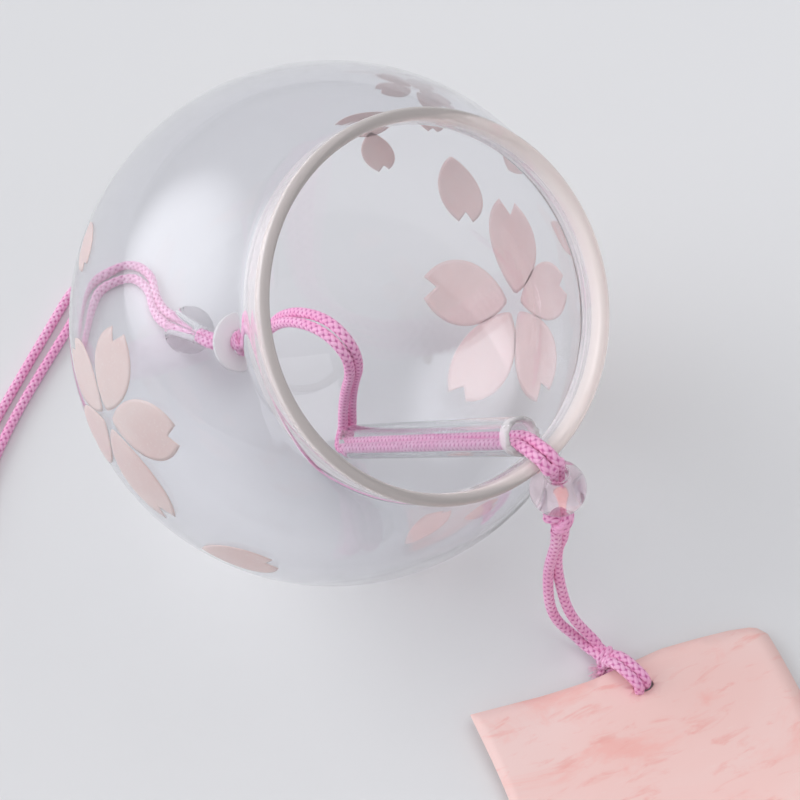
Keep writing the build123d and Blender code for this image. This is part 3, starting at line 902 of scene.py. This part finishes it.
# Latitude towards the mouth and longitude from the lip's lowest point, then for each petal its bearing
# from the mouth's way and its share of the full length
flowers = [
    (-13.7, 59.8, [(72, 1.0), (164, 1.04), (-130, 1.1), (-63, 1.0), (6, 0.88)]),
    (3.5, 122.0, [(155, 0.42), (85, 0.4), (15, 0.42), (-50, 0.4), (-108, 0.42)]),
    (5.0, -106.9, [(-54, 0.8), (18, 0.84), (91, 0.95), (163, 0.82), (-126, 0.8)]),
]

# Latitude, longitude, bearing and share of the full length
loose_petals = [
    (-16.9, 91.8, -118, 1.36), (-27.1, 113.0, -128, 0.9), (9.1, 94.0, 20, 0.75), (15.1, 73.7, -40, 0.8),
    (-13.5, -4.4, 92, 1.02), (-0.2, 3.7, 40, 0.7), (8.3, -65.6, 33, 1.38), (-3.2, -143.8, 60, 0.9),
    (-20.8, 121.0, 150, 1.0), (-6.0, 112.5, -135, 0.8),
]


def petal_outline(length, width, draw):
    """A closed petal outline: narrow base, full sides and two uneven lobes about a notch."""
    lean = draw.uniform(-0.05, 0.05)
    first_tip, second_tip = draw.uniform(0.97, 1.0), draw.uniform(0.93, 1.0)
    notch = (draw.uniform(0.82, 0.86) * length, draw.uniform(-0.06, 0.06) * width)
    shares = np.linspace(0, 1, 26)
    spread = smoothed(read_off(petal_side, shares), 2)
    right, left = [[(share * tip * length, (out * hand + lean * sin(pi * share)) * width / 2)
                    for share, out in zip(shares, spread)] for tip, hand in ((first_tip, 1), (second_tip, -1))]

    def between(start, end, count=5):
        return [(start[0] + (end[0] - start[0]) * step / count, start[1] + (end[1] - start[1]) * step / count)
                for step in range(1, count)]

    return right + between(right[-1], notch) + [notch] + between(notch, left[-1]) + left[::-1]


def painted_petal(latitude, longitude, bearing, start, length, width, draw):
    """One petal of paint laid on the globe, as a thin closed patch."""
    outward = heading(longitude, latitude)
    along = (heading(longitude, latitude + 90) * cos(radians(bearing))
             + heading(longitude + 90, 0) * sin(radians(bearing)))
    across = outward.cross(along)
    outline = petal_outline(length, width, draw)
    count = len(outline)
    rings = 9
    middle = length * 0.5

    def on_glass(ahead, over, lift):
        way = (along * (ahead + start) + across * over) / globe_r
        way += outward * sqrt(1 - way.length_squared)
        return bell_place @ (way * (globe_r + blown(way * globe_r) + lift))

    vertices, faces = [], []
    for level in (1, 0):
        vertices.append(on_glass(middle, 0, paint_lift + paint_thickness * level))
        for ring in range(1, rings + 1):
            lift = paint_lift + paint_thickness * level * (0.55 if ring == rings else 1)
            vertices += [on_glass(middle + (ahead - middle) * ring / rings, over * ring / rings, lift)
                         for ahead, over in outline]
    half = 1 + rings * count
    fan = [(0, 1 + (spot + 1) % count, 1 + spot) for spot in range(count)]
    quads = [tuple(1 + corner for corner in quad) for quad in skin(rings, count)]
    for base, order in ((0, 1), (half, -1)):
        faces += [tuple(base + corner for corner in face)[::order] for face in fan + quads]
    rim = half - count
    for spot in range(count):
        following = (spot + 1) % count
        faces.append((rim + spot, half + rim + spot, half + rim + following, rim + following))
    return piece("petal", vertices, faces, petal_paint)


def blossoms():
    """Three flowers and the loose petals."""
    draw = random.Random(11)
    parts = []
    for latitude, longitude, petals in flowers:
        for bearing, share in petals:
            parts.append(painted_petal(latitude, longitude, bearing, flower_heart * share, petal_length * share,
                                       petal_width * share, draw))
    for latitude, longitude, bearing, share in loose_petals:
        length = loose_length * share
        parts.append(painted_petal(latitude, longitude, bearing, -length / 2, length, loose_width * share, draw))
    dress(join_pieces("blossoms", parts), "bell", "blossom_paint", "blossom_paint")


# Washer, beads and tube

def crown_washer():
    """White disc with eased edges over the pole's hole."""
    ease = 0.18 * mm
    low, high = washer_floor + ease, washer_floor + washer_thickness - ease
    profile = []
    for quarter, corner in enumerate([(washer_r - ease, low), (washer_r - ease, high),
                                      (washer_hole_r + ease, high), (washer_hole_r + ease, low)]):
        profile += arc(corner, ease, 90 * quarter - 90, 90 * quarter, 4)
    washer = turned("washer_ring", profile, bell_place, white_plastic, 72)
    dress(washer, "bell", "washer_plastic", "crown_washer")


def bead(name, centre, way, body, slot, node, finish):
    """Round bead with a bore whose edges are melted round."""
    ease = 0.3 * mm
    edge_r = bead_bore_r + ease
    turn = degrees(atan2(sqrt(bead_r ** 2 - edge_r ** 2), edge_r))
    top = bead_r * sin(radians(turn)) - ease * 0.4
    profile = arc((0, 0), bead_r, -turn + 2, turn - 2, 44)
    profile += arc((edge_r, top - ease * 0.2), ease, 75, 180, 6)
    profile += [(bead_bore_r, top * share) for share in (0.5, 0, -0.5)]
    profile += arc((edge_r, -top + ease * 0.2), ease, 180, 285, 6)
    ball = turned(name, profile, along_axes(centre, side, way.cross(side), way), finish, 96)
    dress(ball, body, slot, node)


def clapper_tube():
    """Glass tube, its lower end melted round and its upper end broken off and only half smoothed."""
    ease = (tube_r - tube_bore_r) / 2
    middle_r = (tube_r + tube_bore_r) / 2
    wall = [tube_length * share for share in np.linspace(0.04, 0.96, 24)]
    wall += [tube_length - rest * mm for rest in (1.6, 1.2, 0.9, 0.6, 0.35)]
    profile = arc((middle_r, ease), ease, 180, 360, 12) + [(tube_r, height) for height in wall]
    profile += arc((middle_r, tube_length - ease * 0.7), ease, 0, 180, 8)
    profile += [(tube_bore_r, height) for height in reversed(wall)]

    def chipped(point):
        near_end = share_of((point.z - (tube_length - 1.7 * mm)) / (1.5 * mm))
        if not near_end:
            return point
        away = Vector((point.x, point.y, 0)).normalized()
        coarse = noise.noise(Vector((away.x * 3, away.y * 3, point.z * 900)))
        fine = noise.noise(Vector((away.x * 9, away.y * 9, point.z * 2600)))
        if Vector((point.x, point.y)).length < middle_r:
            fine = abs(fine)
        return point - up * (abs(coarse) * 0.7 * mm * near_end) + away * (fine * 0.16 * mm * near_end)

    place = along_axes(tube_lower, side, bell_axis.cross(side), bell_axis)
    tube = turned("tube_wall", profile, place, tube_glass, 72, chipped)
    finish_end(tube, place, tube_length - broken_length, broken_glass)
    dress(tube, "tube", "tube_glass", "clapper_tube")


# Paper strip

# Underside of the strip: share of its length, share of the lift
paper_wave = [(0.0, 1.0), (0.05, 0.98), (0.12, 0.45), (0.2, 0.04), (0.33, 0.75), (0.46, 0.5), (0.58, 0.02),
              (0.72, 0.6), (0.85, 0.35), (1.0, 0.0)]
paper_shares = np.linspace(0, 1, 121)
paper_lifts = smoothed(read_off(paper_wave, paper_shares), 14)

# Tied edge: place across the strip and how far the edge lies along it, in millimetres
tied_edge = [(-22, -0.9), (-19, -0.6), (-16, -0.3), (-10, 0.3), (-4.6, 0.7), (0, 0.5), (6.7, 0.1), (12.6, 0.6),
             (17, 1.1), (20.4, 1.8), (21.6, 2.6), (22, 3.6)]


def paper_height(along, across):
    """Underside of the strip above the table: its wave, a small ripple and the lifted corner."""
    share = share_of(along / paper_length)
    wave = np.interp(share, paper_shares, paper_lifts) * paper_lift
    off = across / (paper_width / 2)
    near = max(0, 1 - along / (16 * mm))
    settle = 1 - 0.55 * near * off ** 2
    ripple = 0.1 * mm * sin(along * 210 + off * 2.2) * (0.3 + share)
    corner = max(0, -off - 0.55) * near
    return max(0.02 * mm, wave * settle + ripple * min(1, along / (20 * mm)) + corner * 3.2 * mm)


def paper_strip():
    """Handmade paper with wavy cut edges and a hole for the tie."""
    half = paper_width / 2
    spacing = 1.6 * mm

    def edge(across):
        return read_off(tied_edge, across / mm) * mm

    def wobble(along, seed):
        return noise.noise(Vector((along * 55, seed, 0))) * 0.35 * mm

    def from_hole(along, across):
        return hypot((along - paper_hole_inset) / paper_hole_half, (across - paper_hole_off) / paper_hole_r)

    outline = [(edge(across), across) for across in np.linspace(-half, half, 45)]
    outline += [(along, half + wobble(along, 3)) for along in np.arange(edge(half) + spacing, paper_length, spacing)]
    outline += [(paper_length + noise.noise(Vector((across * 90, 7, 0))) * 0.2 * mm, across)
                for across in np.linspace(half, -half, 29)]
    outline += [(along, -half + wobble(along, 5)) for along in np.arange(paper_length - spacing, 0, -spacing)]
    hole = [(paper_hole_inset + paper_hole_half * cos(2 * pi * step / 28),
             paper_hole_off + paper_hole_r * sin(2 * pi * step / 28)) for step in range(28)]
    inside = [(along, across) for along in np.arange(spacing, paper_length - spacing / 2, spacing)
              for across in np.arange(-half + spacing, half - spacing / 2, spacing)
              if along > edge(across) + spacing * 0.6 and from_hole(along, across) > 1.4]
    flat = [Vector(point) for point in outline + hole + inside]
    ring = [(spot, (spot + 1) % len(outline)) for spot in range(len(outline))]
    eye = [(len(outline) + spot, len(outline) + (spot + 1) % len(hole)) for spot in range(len(hole))]
    points, _, faces, *_ = geometry.delaunay_2d_cdt(flat, ring + eye, [], 1, 1e-7)
    middles = [sum((points[corner] for corner in face), Vector((0, 0))) / len(face) for face in faces]
    faces = [face for face, middle in zip(faces, middles) if from_hole(*middle) > 0.98]
    vertices = [paper_edge + paper_way * point.x + paper_across * point.y + up * paper_height(*point)
                for point in points]
    uvs = [tuple(points[corner]) for face in faces for corner in face]
    sheet = piece("pink_paper_strip", vertices, faces, pink_paper, uvs)
    if sum(polygon.normal.z for polygon in sheet.data.polygons) < 0:
        sheet.data.flip_normals()
    thicken = sheet.modifiers.new("thickness", "SOLIDIFY")
    thicken.thickness = paper_thickness
    thicken.offset = 1
    thicken.use_even_offset = True
    bpy.context.view_layer.update()
    solid = bpy.data.meshes.new_from_object(sheet.evaluated_get(bpy.context.evaluated_depsgraph_get()))
    sheet.modifiers.clear()
    sheet.data = solid
    dress(sheet, "strip", "strip_paper", "paper_strip")


# Table, light and camera

def table():
    """A wide pale round top."""
    table_r, corners = 2, 96
    vertices = [(table_r * cos(2 * pi * step / corners), table_r * sin(2 * pi * step / corners), 0)
                for step in range(corners)]
    piece("table", vertices, [list(range(corners))], floor_finish())


def soft_light(name, way, distance, width, height, strength):
    """A rectangular soft lamp that faces the bell, without a mirror image; strength is its brightness."""
    lamp = bpy.data.lights.new(name, "AREA")
    lamp.shape = "RECTANGLE"
    lamp.size, lamp.size_y = width, height
    lamp.energy = strength * pi * width * height
    holder = put_in_scene(name, lamp)
    holder.location = globe_centre + way * distance
    holder.rotation_euler = way.to_track_quat("Z", "Y").to_euler()
    holder.visible_glossy = False


def studio():
    """The soft glow of a window on the left, a large soft lamp above, and pale surroundings."""
    window_way = heading(214, 26)
    window_glow, sky_glow = 3.0, 0.52
    world = bpy.data.worlds.new("studio")
    world.use_nodes = True
    bpy.context.scene.world = world
    tree = world.node_tree
    way = add(tree, "ShaderNodeTexCoord").outputs["Generated"]
    toward = add(tree, "ShaderNodeVectorMath", {0: way, 1: tuple(window_way)}, operation="DOT_PRODUCT")
    window = remap(tree, toward.outputs["Value"], cos(radians(37)), cos(radians(7)), 0, 1)
    strength = calc(tree, "ADD", calc(tree, "MULTIPLY", window, window_glow), sky_glow)
    give(tree, tree.nodes["Background"], {"Color": (0.95, 0.96, 1, 1), "Strength": strength})
    soft_light("overhead", heading(60, 74), 1.1, 0.9, 0.7, 1.35)


def camera():
    """The camera of the photograph."""
    turn, slope = radians(43.8), radians(58)
    right = Vector((cos(turn), sin(turn), 0))
    back = Vector((sin(turn) * cos(slope), -cos(turn) * cos(slope), sin(slope)))
    lens = bpy.data.cameras.new("camera")
    lens.sensor_width = 36
    lens.lens = 79.68
    lens.clip_start = 0.01
    eye = put_in_scene("camera", lens)
    eye.matrix_world = along_axes(Vector((0.09967, -0.09103, 0.23149)), right, back.cross(right), back)
    bpy.context.scene.camera = eye


camera()
studio()
table()
long_strands()
strip_strands()
crown_strands()
hanging_loop()
tie_strands()
frayed_tails()
knots()
glass_bell()
blossoms()
crown_washer()
bead("lower_clear_bead", lower_bead_centre, bore_way, "lower_bead", "blush_bead", "lower_bead", blush_bead)
bead("top_clear_bead", top_bead_centre, top_way, "top_bead", "clear_bead", "top_bead", clear_bead)
clapper_tube()
paper_strip()

bpy.context.scene.view_settings.view_transform = "Standard"
